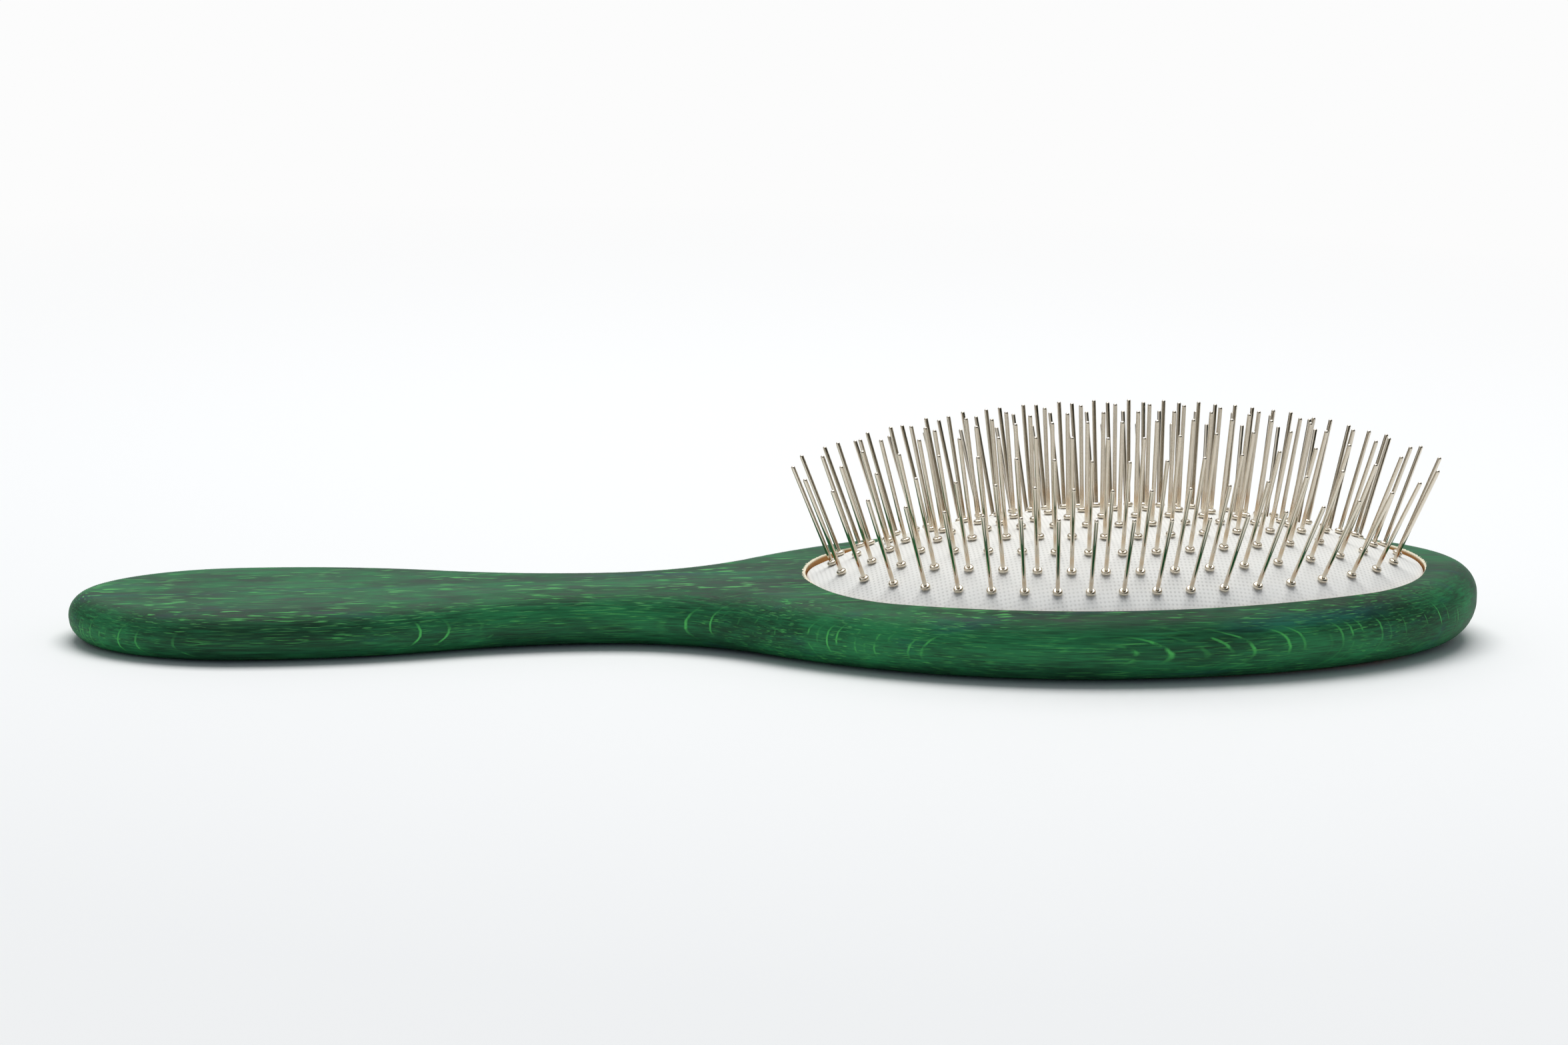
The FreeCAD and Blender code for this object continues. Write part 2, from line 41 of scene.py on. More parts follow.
# The head's own frame, as in the CAD: origin at the centre of the pocket's mouth in the plane of the
# top face, X to the front of the head, Z the way the pins point. The board tapers, so it is tilted.
POCKET_LENGTH = 105.7
POCKET_WIDTH = 56.0
POCKET_END_RADIUS = 22.0
FRONT_THICKNESS = 13.0
END_THICKNESS = 7.9
BOARD_LENGTH = 238.2
HEAD_REACH = 62.2
TAPER = (FRONT_THICKNESS - END_THICKNESS) / BOARD_LENGTH
TOP_TILT = math.atan(TAPER)
TOP_HEIGHT = (FRONT_THICKNESS - HEAD_REACH * TAPER) * math.cos(TOP_TILT)
MOUTH_X = 56.784
DOME_RISE = 9.4
DOME_SINK = 0.6
DOME_POWER = 1.3
HEAD = Matrix.Translation((MOUTH_X, 0, TOP_HEIGHT)) @ Matrix.Rotation(-TOP_TILT, 4, "Y")


def mouth_arcs(inset):
    """The four tangent arcs of the pocket's mouth, set in by so much: how far the end arcs' centres lie
    along X, their radius, the side arcs' radius, and how far those arcs' centres lie across."""
    centre = POCKET_LENGTH / 2 - POCKET_END_RADIUS
    half_width = POCKET_WIDTH / 2 - inset
    radius = POCKET_END_RADIUS - inset
    side_radius = (centre ** 2 + half_width ** 2 - radius ** 2) / (2 * (half_width - radius))
    return centre, radius, side_radius, side_radius - half_width


# Nodes

def colour(code):
    """An sRGB hex colour, as linear RGBA."""
    channels = [int(code[i:i + 2], 16) / 255 for i in (1, 3, 5)]
    return [c / 12.92 if c <= 0.04045 else ((c + 0.055) / 1.055) ** 2.4 for c in channels] + [1.0]


def add(tree, kind, inputs=None, stops=None, **settings):
    """Adds a node and gives its outputs. An input is a value, or another node's output that is linked
    to it; stops are the (position, hex colour) pairs of a ramp. A Map Range's inputs go by number: 0 is
    the value, 1 and 2 are where its fade starts and ends, 3 and 4 what it gives there, else 0 and 1."""
    made = tree.nodes.new(kind)
    for name, value in settings.items():
        setattr(made, name, value)
    for name, value in (inputs or {}).items():
        if isinstance(value, bpy.types.NodeSocket):
            tree.links.new(value, made.inputs[name])
        else:
            made.inputs[name].default_value = value
    if stops:
        elements = made.color_ramp.elements
        while len(elements) < len(stops):
            elements.new(0.5)
        for element, (position, code) in zip(elements, stops):
            element.position = position
            element.color = colour(code)
    return made.outputs


def new_material(name):
    material = bpy.data.materials.new(name)
    material.use_nodes = True
    tree = material.node_tree
    tree.nodes.clear()
    shader = tree.nodes.new("ShaderNodeBsdfPrincipled")
    add(tree, "ShaderNodeOutputMaterial", {"Surface": shader.outputs["BSDF"]})
    return material, tree, shader


def object_mm(tree, cell=(1, 1, 1)):
    """Object coordinates, counted in cells of so many millimetres along each axis."""
    place = add(tree, "ShaderNodeTexCoord")["Object"]
    return add(tree, "ShaderNodeMapping", {
        "Vector": place, "Scale": [1000 / c for c in cell],
    })["Vector"]


def head_mm(tree):
    """Object coordinates in the head's own frame, in millimetres."""
    return add(tree, "ShaderNodeMapping", {
        "Vector": object_mm(tree), "Location": (MOUTH_X, 0, TOP_HEIGHT), "Rotation": (0, -TOP_TILT, 0),
    }, vector_type="TEXTURE")["Vector"]


def band(tree, value, middle, fade, levels):
    """Fades by how far a value is from a middle one: fade is two such distances, levels what it gives
    up to the first and from the second on."""
    off = add(tree, "ShaderNodeMath", {0: value, 1: middle}, operation="SUBTRACT")[0]
    off = add(tree, "ShaderNodeMath", {0: off}, operation="ABSOLUTE")[0]
    return add(tree, "ShaderNodeMapRange", {
        0: off, 1: fade[0], 2: fade[1], 3: levels[0], 4: levels[1],
    })[0]


def mouth_distance(tree, place):
    """Signed distance in millimetres from the pocket's mouth to a place in the head's frame."""
    centre, radius, side_radius, drop = mouth_arcs(0)
    quarter = add(tree, "ShaderNodeVectorMath", {0: place}, operation="ABSOLUTE")["Vector"]
    flat = add(tree, "ShaderNodeVectorMath", {0: quarter, 1: (1, 1, 0)}, operation="MULTIPLY")["Vector"]
    from_end = add(tree, "ShaderNodeVectorMath", {0: flat, 1: (centre, 0, 0)},
                   operation="DISTANCE")["Value"]
    from_side = add(tree, "ShaderNodeVectorMath", {0: flat, 1: (0, -drop, 0)},
                    operation="DISTANCE")["Value"]
    end = add(tree, "ShaderNodeMath", {0: from_end, 1: radius}, operation="SUBTRACT")[0]
    side = add(tree, "ShaderNodeMath", {0: from_side, 1: side_radius}, operation="SUBTRACT")[0]
    past = add(tree, "ShaderNodeVectorMath", {0: flat, 1: (drop, -centre, 0)},
               operation="DOT_PRODUCT")["Value"]
    at_end = add(tree, "ShaderNodeMath", {0: past, 1: centre * drop}, operation="GREATER_THAN")[0]
    return add(tree, "ShaderNodeMix", {"Factor": at_end, "A": side, "B": end},
               data_type="FLOAT")["Result"]


# Wood

# Each noise has its cell in millimetres along the board, across it and up, its detail and roughness,
# and its fade: where it starts and ends, and what it gives there. Real rays are about 0.1 mm wide and
# fibres finer still; both are drawn coarser, most of all across the board, to show on its top.
WOOD_NOISES = {
    "wander": ((55, 26, 26), 2, 0.5, None),                        # how the growth rings wander
    "torn": ((4, 3, 3), 3, 0.5, (0.42, 0.52, 0.0, 1.0)),           # where a ring's line is broken
    "stretch": ((14, 7, 7), 1, 0.5, (0.42, 0.56, 0.0, 1.0)),       # which stretches of it show
    "fleck": ((4.5, 0.75, 0.17), 1, 0.5, (0.59, 0.70, 0.0, 1.0)),  # the rays
    "zone": ((22, 5, 5), 2, 0.5, (0.36, 0.62, 0.1, 1.0)),          # where the rays gather
    "fibre": ((7, 1.6, 0.26), 4, 0.6, None),                       # dark and light streaks
    "cloud": ((30, 9, 9), 3, 0.5, None),                           # slow clouds of stain
    "pool": ((60, 3, 3), 1, 0.5, (0.62, 0.76, 0.0, 0.25)),         # bluer pools of it
    "teeth": ((0.5, 0.5, 0.5), 1, 0.5, None),                      # the torn edge of the pocket
}

# Growth rings: their spacing and wander in millimetres, the way across them, the half width of a
# ring's light line as a share of the spacing, and the fade that leaves some rings without a line
RING_SPACING = 0.7
RING_WANDER = 5.0
RING_LEAN = (0.015, 1, 0.12)
RING_LINE = (0.04, 0.13)
RING_STRENGTH = (0.2, 0.6)

# Where things are on the board, in millimetres in the head's frame, and how strong they are there: the
# middle of the side, where the rings show, the row where the rays are densest, the front, where they
# are sparser, the top face, darkened with painted shade, the side, lightened with painted light, and the
# bluer streak on the upper edge
SIDE_MIDDLE = -5.0
SIDE_FADE = (1.0, 2.4)
OFF_SIDE = 0.15
RAY_ROW = -4.4
RAY_ROW_FADE = (0.2, 0.7)
RAY_ROW_GAIN = 0.7
RAY_SHARE = 0.65
FRONT_FADE = (38, 52)
FRONT_RAYS = 0.3
TOP_SHADE_FADE = (-2.6, -0.4)
SIDE_PAINTED_LIGHT = 1.08
TOP_PAINTED_SHADE = 0.66
STREAK_X = 27.0
STREAK_X_FADE = (9.0, 17.0)
STREAK_Z = -2.2
STREAK_Z_FADE = (0.5, 1.4)
STREAK_SHARE = 0.6

# The torn edge of the pocket, in millimetres: it shows at its ends and away from its near side
TORN_END_FADE = (44, 51)
TORN_SIDE_FADE = (-7, -1)
TORN_REACH = 0.9
TORN_LEAST = 0.02
RIM_FADE = (-0.35, -0.05)

STAIN = [(0.38, "#0c3a22"), (0.49, "#195c37"), (0.60, "#267e4a")]
POOL_STAIN = "#1c5560"
STREAK_BLUE = "#1f5869"
RING_STAIN = "#52c35f"
RAY_STAIN = "#5cc464"
BARE_WALL = "#a8763c"
TORN_EDGE = "#efe6cc"
FIBRE_RANGE = (0.3, 0.7)
LACQUER_ROUGHNESS = (0.50, 0.66)
LACQUER_SPECULAR = 0.25
GRAIN_STRENGTH = 0.6
GRAIN_DEPTH = 0.00008


def wood_material():
    """Beech, sanded, stained green through the pores, under a thin matt lacquer. The stain is dark and
    uneven; growth rings show as broken lighter lines, which turn into crescents where the side bulges;
    the rays are short light flecks along the grain. The wall of the pocket is bare wood with a torn
    edge."""
    material, tree, shader = new_material("stained_beech_matt_lacquer")
    head = head_mm(tree)
    along = add(tree, "ShaderNodeSeparateXYZ", {0: head})
    noise = {}
    for name, (cell, detail, roughness, fade) in WOOD_NOISES.items():
        noise[name] = add(tree, "ShaderNodeTexNoise", {
            "Vector": object_mm(tree, cell), "Scale": 1, "Detail": detail, "Roughness": roughness,
        })[0]
        if fade:
            noise[name] = add(tree, "ShaderNodeMapRange", {
                0: noise[name], 1: fade[0], 2: fade[1], 3: fade[2], 4: fade[3],
            })[0]

    # Growth rings stand nearly upright in the board, and show best along the middle of its side
    across = add(tree, "ShaderNodeVectorMath", {0: object_mm(tree), 1: RING_LEAN},
                 operation="DOT_PRODUCT")["Value"]
    across = add(tree, "ShaderNodeMath", {0: noise["wander"], 1: RING_WANDER, 2: across},
                 operation="MULTIPLY_ADD")[0]
    ring = add(tree, "ShaderNodeMath", {0: across, 1: RING_SPACING}, operation="DIVIDE")[0]
    number = add(tree, "ShaderNodeMath", {0: ring}, operation="FLOOR")[0]
    within = add(tree, "ShaderNodeMath", {0: ring}, operation="FRACT")[0]
    strength = add(tree, "ShaderNodeTexWhiteNoise", {"W": number}, noise_dimensions="1D")[0]
    strength = add(tree, "ShaderNodeMapRange", {
        0: strength, 1: RING_STRENGTH[0], 2: RING_STRENGTH[1],
    })[0]
    on_side = band(tree, along["Z"], SIDE_MIDDLE, SIDE_FADE, (1.0, OFF_SIDE))
    line = band(tree, within, 0.5, RING_LINE, (1.0, 0.0))
    for share in (strength, noise["torn"], noise["stretch"], on_side):
        line = add(tree, "ShaderNodeMath", {0: line, 1: share}, operation="MULTIPLY")[0]

    # Rays: flecks 1 to 3 mm long
    row = band(tree, along["Z"], RAY_ROW, RAY_ROW_FADE, (RAY_ROW_GAIN, 0.0))
    zone = add(tree, "ShaderNodeMath", {0: noise["zone"], 1: row}, operation="ADD")[0]
    on_front = add(tree, "ShaderNodeMapRange", {
        0: along["X"], 1: FRONT_FADE[0], 2: FRONT_FADE[1], 3: 1.0, 4: FRONT_RAYS,
    })[0]
    fleck = noise["fleck"]
    for share in (zone, on_front):
        fleck = add(tree, "ShaderNodeMath", {0: fleck, 1: share}, operation="MULTIPLY")[0]
    ray = add(tree, "ShaderNodeMath", {0: fleck, 1: RAY_SHARE}, operation="MULTIPLY")[0]

    # One bluer streak along the upper edge of the head, on its near side
    streak = band(tree, along["X"], STREAK_X, STREAK_X_FADE, (STREAK_SHARE, 0.0))
    on_edge = band(tree, along["Z"], STREAK_Z, STREAK_Z_FADE, (1.0, 0.0))
    near = add(tree, "ShaderNodeMath", {0: along["Y"], 1: 0.0}, operation="LESS_THAN")[0]
    for share in (on_edge, near, noise["fibre"]):
        streak = add(tree, "ShaderNodeMath", {0: streak, 1: share}, operation="MULTIPLY")[0]

    # The stain follows the fibres and the clouds alike
    stain = add(tree, "ShaderNodeMath", {0: noise["fibre"], 1: noise["cloud"]}, operation="ADD")[0]
    stain = add(tree, "ShaderNodeMath", {0: stain, 1: 0.5}, operation="MULTIPLY")[0]
    stained = add(tree, "ShaderNodeValToRGB", {"Fac": stain}, stops=STAIN)[0]
    # Painted light and shade: the side is painted lighter and the top face darker than the lamp leaves
    # them
    painted_top_shade_side_light = add(tree, "ShaderNodeMapRange", {
        0: along["Z"], 1: TOP_SHADE_FADE[0], 2: TOP_SHADE_FADE[1], 3: SIDE_PAINTED_LIGHT, 4: TOP_PAINTED_SHADE,
    })[0]
    stained = add(tree, "ShaderNodeHueSaturation", {"Value": painted_top_shade_side_light, "Color": stained})[0]
    for share, code in ((noise["pool"], POOL_STAIN), (streak, STREAK_BLUE), (line, RING_STAIN),
                        (ray, RAY_STAIN)):
        stained = add(tree, "ShaderNodeMix", {"Factor": share, "A": stained, "B": colour(code)},
                      data_type="RGBA")["Result"]

    # The pocket was routed after staining: bare wall, and at its two ends a torn, pale edge
    away = mouth_distance(tree, head)
    reach = band(tree, along["X"], 0.0, TORN_END_FADE, (0.0, TORN_REACH))
    beyond = add(tree, "ShaderNodeMapRange", {
        0: along["Y"], 1: TORN_SIDE_FADE[0], 2: TORN_SIDE_FADE[1],
    })[0]
    reach = add(tree, "ShaderNodeMath", {0: reach, 1: beyond}, operation="MULTIPLY")[0]
    torn_to = add(tree, "ShaderNodeMath", {0: noise["teeth"], 1: reach, 2: TORN_LEAST},
                  operation="MULTIPLY_ADD")[0]
    bare = add(tree, "ShaderNodeMath", {0: away, 1: torn_to}, operation="LESS_THAN")[0]
    at_rim = add(tree, "ShaderNodeMapRange", {0: along["Z"], 1: RIM_FADE[0], 2: RIM_FADE[1]})[0]
    raw = add(tree, "ShaderNodeMix", {
        "Factor": at_rim, "A": colour(BARE_WALL), "B": colour(TORN_EDGE),
    }, data_type="RGBA")["Result"]
    surface = add(tree, "ShaderNodeMix", {"Factor": bare, "A": stained, "B": raw},
                  data_type="RGBA")["Result"]
    tree.links.new(surface, shader.inputs["Base Color"])

    # The lacquer is smoother over the dark fibres than over the light ones
    sheen = add(tree, "ShaderNodeMapRange", {
        0: noise["fibre"], 1: FIBRE_RANGE[0], 2: FIBRE_RANGE[1],
        3: LACQUER_ROUGHNESS[0], 4: LACQUER_ROUGHNESS[1],
    })[0]
    tree.links.new(sheen, shader.inputs["Roughness"])
    shader.inputs["Specular IOR Level"].default_value = LACQUER_SPECULAR
    grain = add(tree, "ShaderNodeMath", {0: noise["fibre"], 1: fleck}, operation="ADD")[0]
    bump = add(tree, "ShaderNodeBump", {
        "Height": grain, "Strength": GRAIN_STRENGTH, "Distance": GRAIN_DEPTH,
    })[0]
    tree.links.new(bump, shader.inputs["Normal"])
    return material


# Rubber

WEAVE_PITCH = 0.7
WEAVE_DOT = (0.2, 1.6)
WEAVE_STRENGTH = 0.5
WEAVE_DEPTH = -0.00006
RUBBER_CLOUD = (9, 9, 9)
RUBBER_WHITE = "#f6f5f0"
RUBBER_SHADE = "#d3d2cc"
RUBBER_ROUGHNESS = 0.62


def rubber_material():
    """White rubber sheet faced with a close woven fabric: matt, with a fine square dotted texture at its
    real pitch."""
    material, tree, shader = new_material("white_rubber_fabric_faced")
    turns = add(tree, "ShaderNodeVectorMath", {
        0: head_mm(tree), 1: (2 * math.pi / WEAVE_PITCH,) * 3,
    }, operation="MULTIPLY")["Vector"]
    turns = add(tree, "ShaderNodeSeparateXYZ", {0: turns})
    warp = add(tree, "ShaderNodeMath", {0: turns["X"]}, operation="COSINE")[0]
    weft = add(tree, "ShaderNodeMath", {0: turns["Y"]}, operation="COSINE")[0]
    weave = add(tree, "ShaderNodeMath", {0: warp, 1: weft}, operation="ADD")[0]
    dots = add(tree, "ShaderNodeMapRange", {0: weave, 1: WEAVE_DOT[0], 2: WEAVE_DOT[1]})[0]
    cloud = add(tree, "ShaderNodeTexNoise", {
        "Vector": object_mm(tree, RUBBER_CLOUD), "Scale": 1, "Detail": 3,
    })[0]
    shade = add(tree, "ShaderNodeMath", {0: dots, 1: cloud}, operation="MULTIPLY")[0]
    face = add(tree, "ShaderNodeMix", {
        "Factor": shade, "A": colour(RUBBER_WHITE), "B": colour(RUBBER_SHADE),
    }, data_type="RGBA")["Result"]
    tree.links.new(face, shader.inputs["Base Color"])
    shader.inputs["Roughness"].default_value = RUBBER_ROUGHNESS
    bump = add(tree, "ShaderNodeBump", {
        "Height": dots, "Strength": WEAVE_STRENGTH, "Distance": WEAVE_DEPTH,
    })[0]
    tree.links.new(bump, shader.inputs["Normal"])
    return material


# Steel

BRASSY_HEIGHT = 3.2
BRASSY_FADE = (0.4, 1.8)
BRASSY_SHARE = 0.65
BLOTCH_CELL = (1.2, 1.2, 2.5)
BLOTCH_RANGE = (0.35, 0.65)
NICKEL = "#dfd6c6"
BRASSY = "#c39a63"
WIRE_ROUGHNESS = (0.05, 0.14)


def steel_material():
    """Steel wire, drawn and nickel plated: a bright warm metal with a soft sheen, brassy in blotches
    about 3 mm above the cushion."""
    material, tree, shader = new_material("nickel_plated_steel_wire")
    place = head_mm(tree)
    scaled = add(tree, "ShaderNodeVectorMath", {
        0: place, 1: (2 / POCKET_LENGTH, 2 / POCKET_WIDTH, 0),
    }, operation="MULTIPLY")["Vector"]
    out = add(tree, "ShaderNodeVectorMath", {0: scaled}, operation="LENGTH")["Value"]
    fall = add(tree, "ShaderNodeMath", {0: out, 1: 2 * DOME_POWER}, operation="POWER")[0]
    rise = add(tree, "ShaderNodeMath", {0: fall, 1: -DOME_RISE, 2: DOME_RISE - DOME_SINK},
               operation="MULTIPLY_ADD")[0]
    height = add(tree, "ShaderNodeSeparateXYZ", {0: place})["Z"]
    height = add(tree, "ShaderNodeMath", {0: height, 1: rise}, operation="SUBTRACT")[0]
    blotch = add(tree, "ShaderNodeTexNoise", {
        "Vector": object_mm(tree, BLOTCH_CELL), "Scale": 1, "Detail": 2,
    })[0]
    low = band(tree, height, BRASSY_HEIGHT, BRASSY_FADE, (BRASSY_SHARE, 0.0))
    tint = add(tree, "ShaderNodeMath", {0: low, 1: blotch}, operation="MULTIPLY")[0]
    metal = add(tree, "ShaderNodeMix", {
        "Factor": tint, "A": colour(NICKEL), "B": colour(BRASSY),
    }, data_type="RGBA")["Result"]
    tree.links.new(metal, shader.inputs["Base Color"])
    shader.inputs["Metallic"].default_value = 1.0
    drawn = add(tree, "ShaderNodeMapRange", {
        0: blotch, 1: BLOTCH_RANGE[0], 2: BLOTCH_RANGE[1], 3: WIRE_ROUGHNESS[0], 4: WIRE_ROUGHNESS[1],
    })[0]
    tree.links.new(drawn, shader.inputs["Roughness"])
    return material


def paint(piece, material):
    piece.data.materials.clear()
    piece.data.materials.append(material)


paint(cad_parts["wooden_back"], wood_material())
steel = steel_material()
for name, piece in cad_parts.items():
    if name.startswith("pins_"):
        paint(piece, steel)


# Cushion: the domed sheet, whose edge rolls down into the pocket, in millimetres and steps

PLAY = 0.15
EDGE_ROLL = 0.9
SKIRT_DEPTH = 3.4
SHEET = 1.8
WELD = 0.001
ROUND_STEPS = 256
FACE_STEPS = 44
ROLL_STEPS = 6


def put_in_scene(name, data):
    """A new object that shows this data, linked to the scene."""
    made = bpy.data.objects.new(name, data)
    bpy.context.scene.collection.objects.link(made)
    return made


def mouth_reach(turn, inset):
    """From the centre of the pocket's mouth to its outline, set in by so much, in one direction."""
    centre, radius, side_radius, drop = mouth_arcs(inset)
    along, over = abs(math.cos(turn)), abs(math.sin(turn))
    on_side = math.sqrt(side_radius ** 2 - (drop * along) ** 2) - drop * over
    if drop * on_side * along - centre * on_side * over > centre * drop:
        return centre * along + math.sqrt(radius ** 2 - (centre * over) ** 2)
    return on_side


def dome(x, y):
    """How far the cushion's face stands above the plane of the top face."""
    squared = (2 * x / POCKET_LENGTH) ** 2 + (2 * y / POCKET_WIDTH) ** 2
    return DOME_RISE * (1 - squared ** DOME_POWER) - DOME_SINK


def cushion_point(turn, step):
    """A point of the sheet's face in the head's frame. Steps up to FACE_STEPS cross the dome, those up
    to ROLL_STEPS more turn its edge down, and the last is the foot of the skirt."""
    edge = mouth_reach(turn, PLAY)
    toward = Vector((math.cos(turn), math.sin(turn)))
    lean = math.atan(dome(*(toward * (edge - 1))) - dome(*(toward * edge)))
    last = edge - EDGE_ROLL * (1 - math.sin(lean))
    if step <= FACE_STEPS:
        reach = last * step / FACE_STEPS
        height = dome(toward.x * reach, toward.y * reach)
    else:
        rolled = min(step - FACE_STEPS, ROLL_STEPS)
        bend = lean + (math.pi / 2 - lean) * rolled / ROLL_STEPS
        reach = last + EDGE_ROLL * (math.sin(bend) - math.sin(lean))
        height = dome(toward.x * last, toward.y * last) + EDGE_ROLL * (math.cos(bend) - math.cos(lean))
    if step > FACE_STEPS + ROLL_STEPS:
        height = -SKIRT_DEPTH
    return Vector((toward.x * reach, toward.y * reach, height))


def make_cushion():
    rows = FACE_STEPS + ROLL_STEPS + 1
    form = bmesh.new()
    bmesh.ops.create_grid(form, x_segments=ROUND_STEPS, y_segments=rows, size=0.5)
    for vert in form.verts:
        turn = 2 * math.pi * (vert.co.x + 0.5)
        vert.co = HEAD @ cushion_point(turn, round((vert.co.y + 0.5) * rows))
    bmesh.ops.remove_doubles(form, verts=form.verts, dist=WELD)
    bmesh.ops.recalc_face_normals(form, faces=form.faces)
    bmesh.ops.scale(form, vec=(MM, MM, MM), verts=form.verts)
    top = max(form.faces, key=lambda face: face.calc_center_median().z)
    if top.normal.z < 0:
        bmesh.ops.reverse_faces(form, faces=form.faces)
    for face in form.faces:
        face.smooth = True
    mesh = bpy.data.meshes.new("cushion_sheet")
    form.to_mesh(mesh)
    form.free()
    piece = put_in_scene("cushion_sheet", mesh)
    wall = piece.modifiers.new("wall", "SOLIDIFY")
    wall.thickness = SHEET * MM
    wall.offset = -1
    paint(piece, rubber_material())
    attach(piece, "root")
    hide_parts("cushion_pad")


make_cushion()


# Camera: as the photograph was taken, 800 mm from the cushion and 14 degrees above it, turned 6
# degrees. Angles are in radians, places in the photograph in pixels, the distance and the sensor in
# millimetres and the clipping in metres

FOCAL_PX = 7076.4
PHOTO_WIDTH = 2352
PHOTO_HEIGHT = 1568
MOUTH_PX = (1673.608, 852.429)
DISTANCE = 800.0
ELEVATION = 0.242912
YAW = 0.102884
PITCH = 0.001913
SENSOR_WIDTH = 36.0
CLIP_START = 0.01
CLIP_END = 20.0


def place_camera():
    data = bpy.data.cameras.new("camera")
    data.sensor_width = SENSOR_WIDTH
    data.lens = SENSOR_WIDTH * FOCAL_PX / PHOTO_WIDTH
    data.clip_start = CLIP_START
    data.clip_end = CLIP_END
    right = Vector((1, 0, 0))
    up = Vector((0, math.sin(ELEVATION), math.cos(ELEVATION)))
    forward = Vector((0, math.cos(ELEVATION), -math.sin(ELEVATION)))
    across = DISTANCE * (MOUTH_PX[0] - PHOTO_WIDTH / 2) / FOCAL_PX
    above = -DISTANCE * (MOUTH_PX[1] - PHOTO_HEIGHT / 2) / FOCAL_PX
    seen = Matrix((right, up, -forward)).transposed().to_4x4()
    seen.translation = -(right * across + up * above + forward * DISTANCE)
    turned = Matrix.Rotation(YAW, 4, "Z") @ Matrix.Rotation(PITCH, 4, "Y")
    in_mm = HEAD @ turned.inverted() @ seen
    in_mm.translation *= MM
    camera = put_in_scene("camera", data)
    camera.matrix_world = in_mm
    bpy.context.scene.camera = camera


place_camera()


# Stage: white paper, one softbox above and a little behind, and a white room. Sizes and places are in
# metres, apart from the fade of the paper, which is in millimetres from the brush's middle

BACKDROP = "#fcfcfc"
PAPER = "#f6f6f5"
PAPER_ROUGHNESS = 0.8
PAPER_HALF_SIDE = 6.0
PAPER_FADE = (180, 420)
LAMP_PLACE = (0.05, 0.21, 0.9)
LAMP_AIM = (0.03, 0, 0)
LAMP_SIZE = (0.9, 0.5)
LAMP_POWER = 7.9


def make_floor():
    """White paper, which the camera sees run out to plain white away from the brush."""
    mesh = bpy.data.meshes.new("floor")
    form = bmesh.new()
    bmesh.ops.create_grid(form, x_segments=1, y_segments=1, size=PAPER_HALF_SIDE)
    form.to_mesh(mesh)
    form.free()
    floor = put_in_scene("floor", mesh)
    material, tree, shader = new_material("white_paper")
    shader.inputs["Base Color"].default_value = colour(PAPER)
    shader.inputs["Roughness"].default_value = PAPER_ROUGHNESS
    far = add(tree, "ShaderNodeVectorMath", {0: object_mm(tree)}, operation="LENGTH")["Value"]
    far = add(tree, "ShaderNodeMapRange", {0: far, 1: PAPER_FADE[0], 2: PAPER_FADE[1]})[0]
    seen = add(tree, "ShaderNodeLightPath")["Is Camera Ray"]
    far = add(tree, "ShaderNodeMath", {0: far, 1: seen}, operation="MULTIPLY")[0]
    white = add(tree, "ShaderNodeEmission", {"Color": colour(BACKDROP)})
    sheet = add(tree, "ShaderNodeMixShader", {0: far, 1: shader.outputs["BSDF"], 2: white[0]})
    output = next(node for node in tree.nodes if node.bl_idname == "ShaderNodeOutputMaterial")
    tree.links.new(sheet[0], output.inputs["Surface"])
    paint(floor, material)


def make_lamp():
    data = bpy.data.lights.new("top_softbox", "AREA")
    data.shape = "RECTANGLE"
    data.size, data.size_y = LAMP_SIZE
    data.energy = LAMP_POWER
    lamp = put_in_scene("top_softbox", data)
    lamp.location = LAMP_PLACE
    lamp.rotation_mode = "QUATERNION"
    lamp.rotation_quaternion = (Vector(LAMP_AIM) - Vector(LAMP_PLACE)).to_track_quat("-Z", "Y")


# The room: the way to its front, and what lights the surfaces and what the metal mirrors, there and
# elsewhere. Two dark flags stand in the mirrored room: each has the way to it, where its edge starts
# and ends, as cosines of the angle from that way, and its colour
TO_FRONT = (0.0, -0.94, -0.34)
FRONT_EDGE = (0.0, 0.6)
AMBIENT = "#999c9f"
AMBIENT_FRONT = "#626e80"
MIRRORED = "#e6e9ec"
MIRRORED_FRONT = "#857f74"
FLAGS = (
    ((0.80, -0.60, 0.0), 0.50, 0.70, "#151a13"),
    ((-0.93, 0.37, 0.0), 0.78, 0.92, "#34332f"),
)


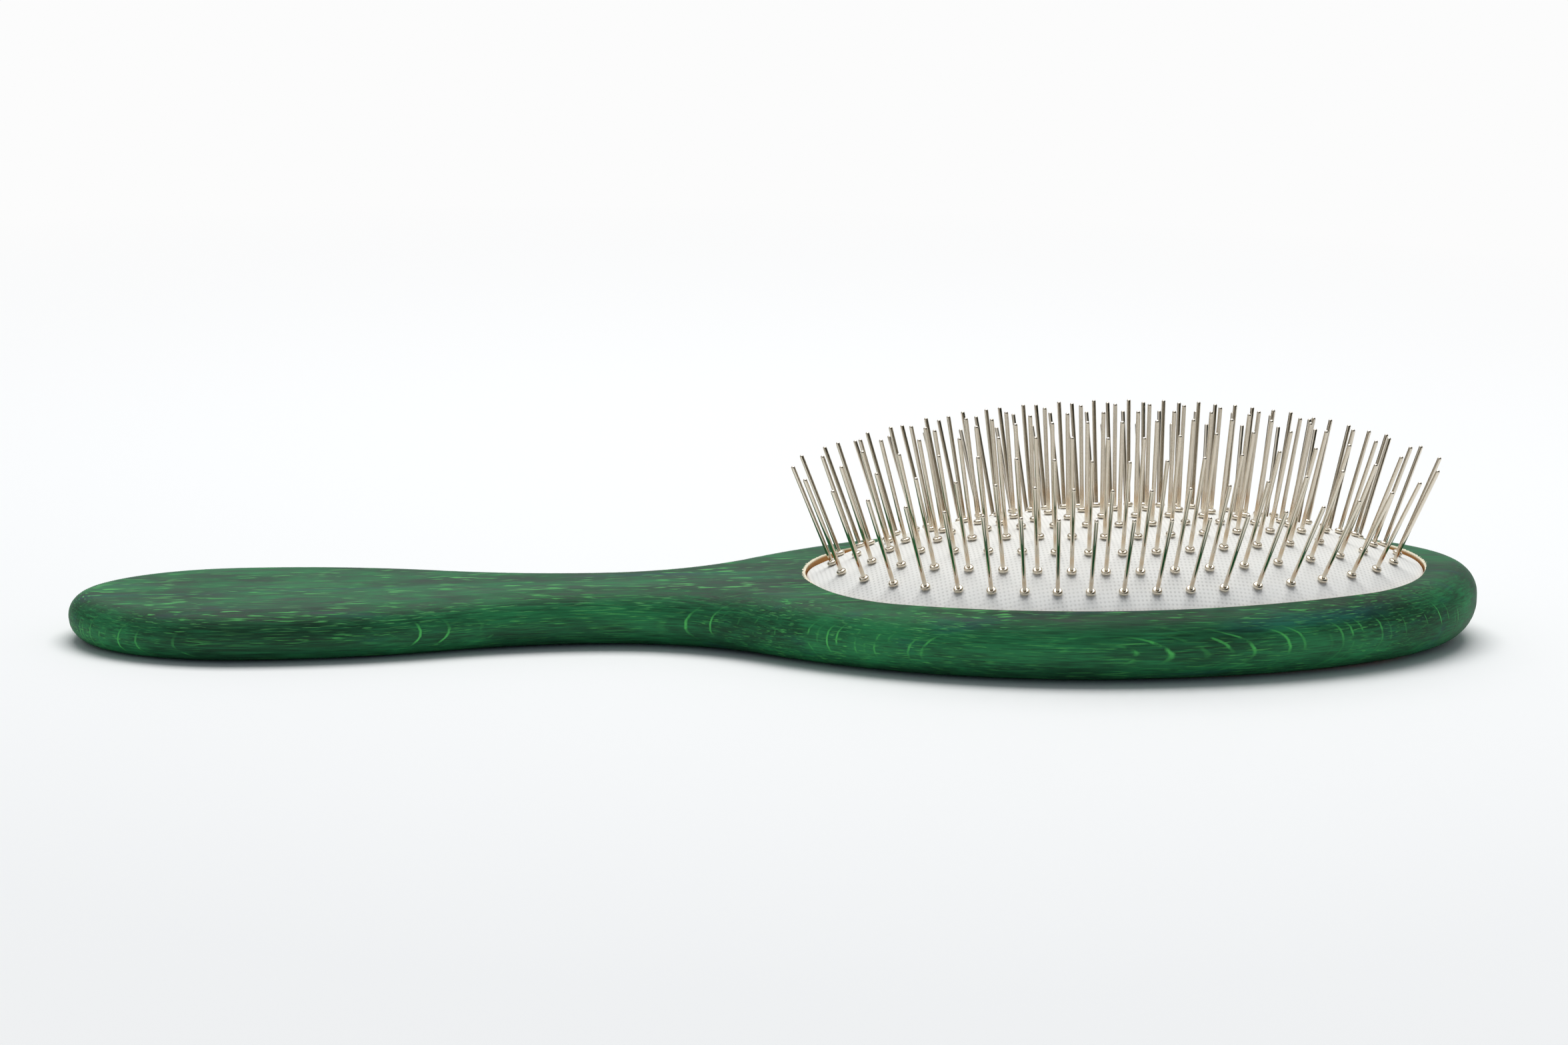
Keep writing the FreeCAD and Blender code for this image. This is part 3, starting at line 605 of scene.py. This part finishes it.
def make_world():
    """White to the camera. What lights the brush is dimmer and bluer from the front, which gives its
    side depth; what the metal mirrors is darker there too, and the two flags, one beside the camera on
    the right and one at the far left, give the wires their dark streaks."""
    world = bpy.data.worlds.new("studio")
    bpy.context.scene.world = world
    world.use_nodes = True
    tree = world.node_tree
    tree.nodes.clear()
    rays = add(tree, "ShaderNodeLightPath")
    toward = add(tree, "ShaderNodeTexCoord")["Generated"]
    front = add(tree, "ShaderNodeVectorMath", {0: toward, 1: TO_FRONT},
                operation="DOT_PRODUCT")["Value"]
    front = add(tree, "ShaderNodeMapRange", {0: front, 1: FRONT_EDGE[0], 2: FRONT_EDGE[1]})[0]
    ambient = add(tree, "ShaderNodeMix", {
        "Factor": front, "A": colour(AMBIENT), "B": colour(AMBIENT_FRONT),
    }, data_type="RGBA")["Result"]
    mirrored = add(tree, "ShaderNodeMix", {
        "Factor": front, "A": colour(MIRRORED), "B": colour(MIRRORED_FRONT),
    }, data_type="RGBA")["Result"]
    for way, edge_start, edge_end, code in FLAGS:
        flag = add(tree, "ShaderNodeVectorMath", {0: toward, 1: way}, operation="DOT_PRODUCT")["Value"]
        flag = add(tree, "ShaderNodeMapRange", {0: flag, 1: edge_start, 2: edge_end})[0]
        mirrored = add(tree, "ShaderNodeMix", {"Factor": flag, "A": mirrored, "B": colour(code)},
                       data_type="RGBA")["Result"]
    room = add(tree, "ShaderNodeBackground", {"Color": ambient, "Strength": 1.0})
    shiny = add(tree, "ShaderNodeBackground", {"Color": mirrored, "Strength": 1.0})
    backdrop = add(tree, "ShaderNodeBackground", {"Color": colour(BACKDROP), "Strength": 1.0})
    lit = add(tree, "ShaderNodeMixShader", {0: rays["Is Glossy Ray"], 1: room[0], 2: shiny[0]})
    seen = add(tree, "ShaderNodeMath", {0: rays["Is Camera Ray"], 1: rays["Is Transmission Ray"]},
               operation="MAXIMUM")[0]
    both = add(tree, "ShaderNodeMixShader", {0: seen, 1: lit[0], 2: backdrop[0]})
    add(tree, "ShaderNodeOutputWorld", {"Surface": both[0]})


make_floor()
make_world()
make_lamp()
bpy.context.scene.view_settings.view_transform = "Standard"
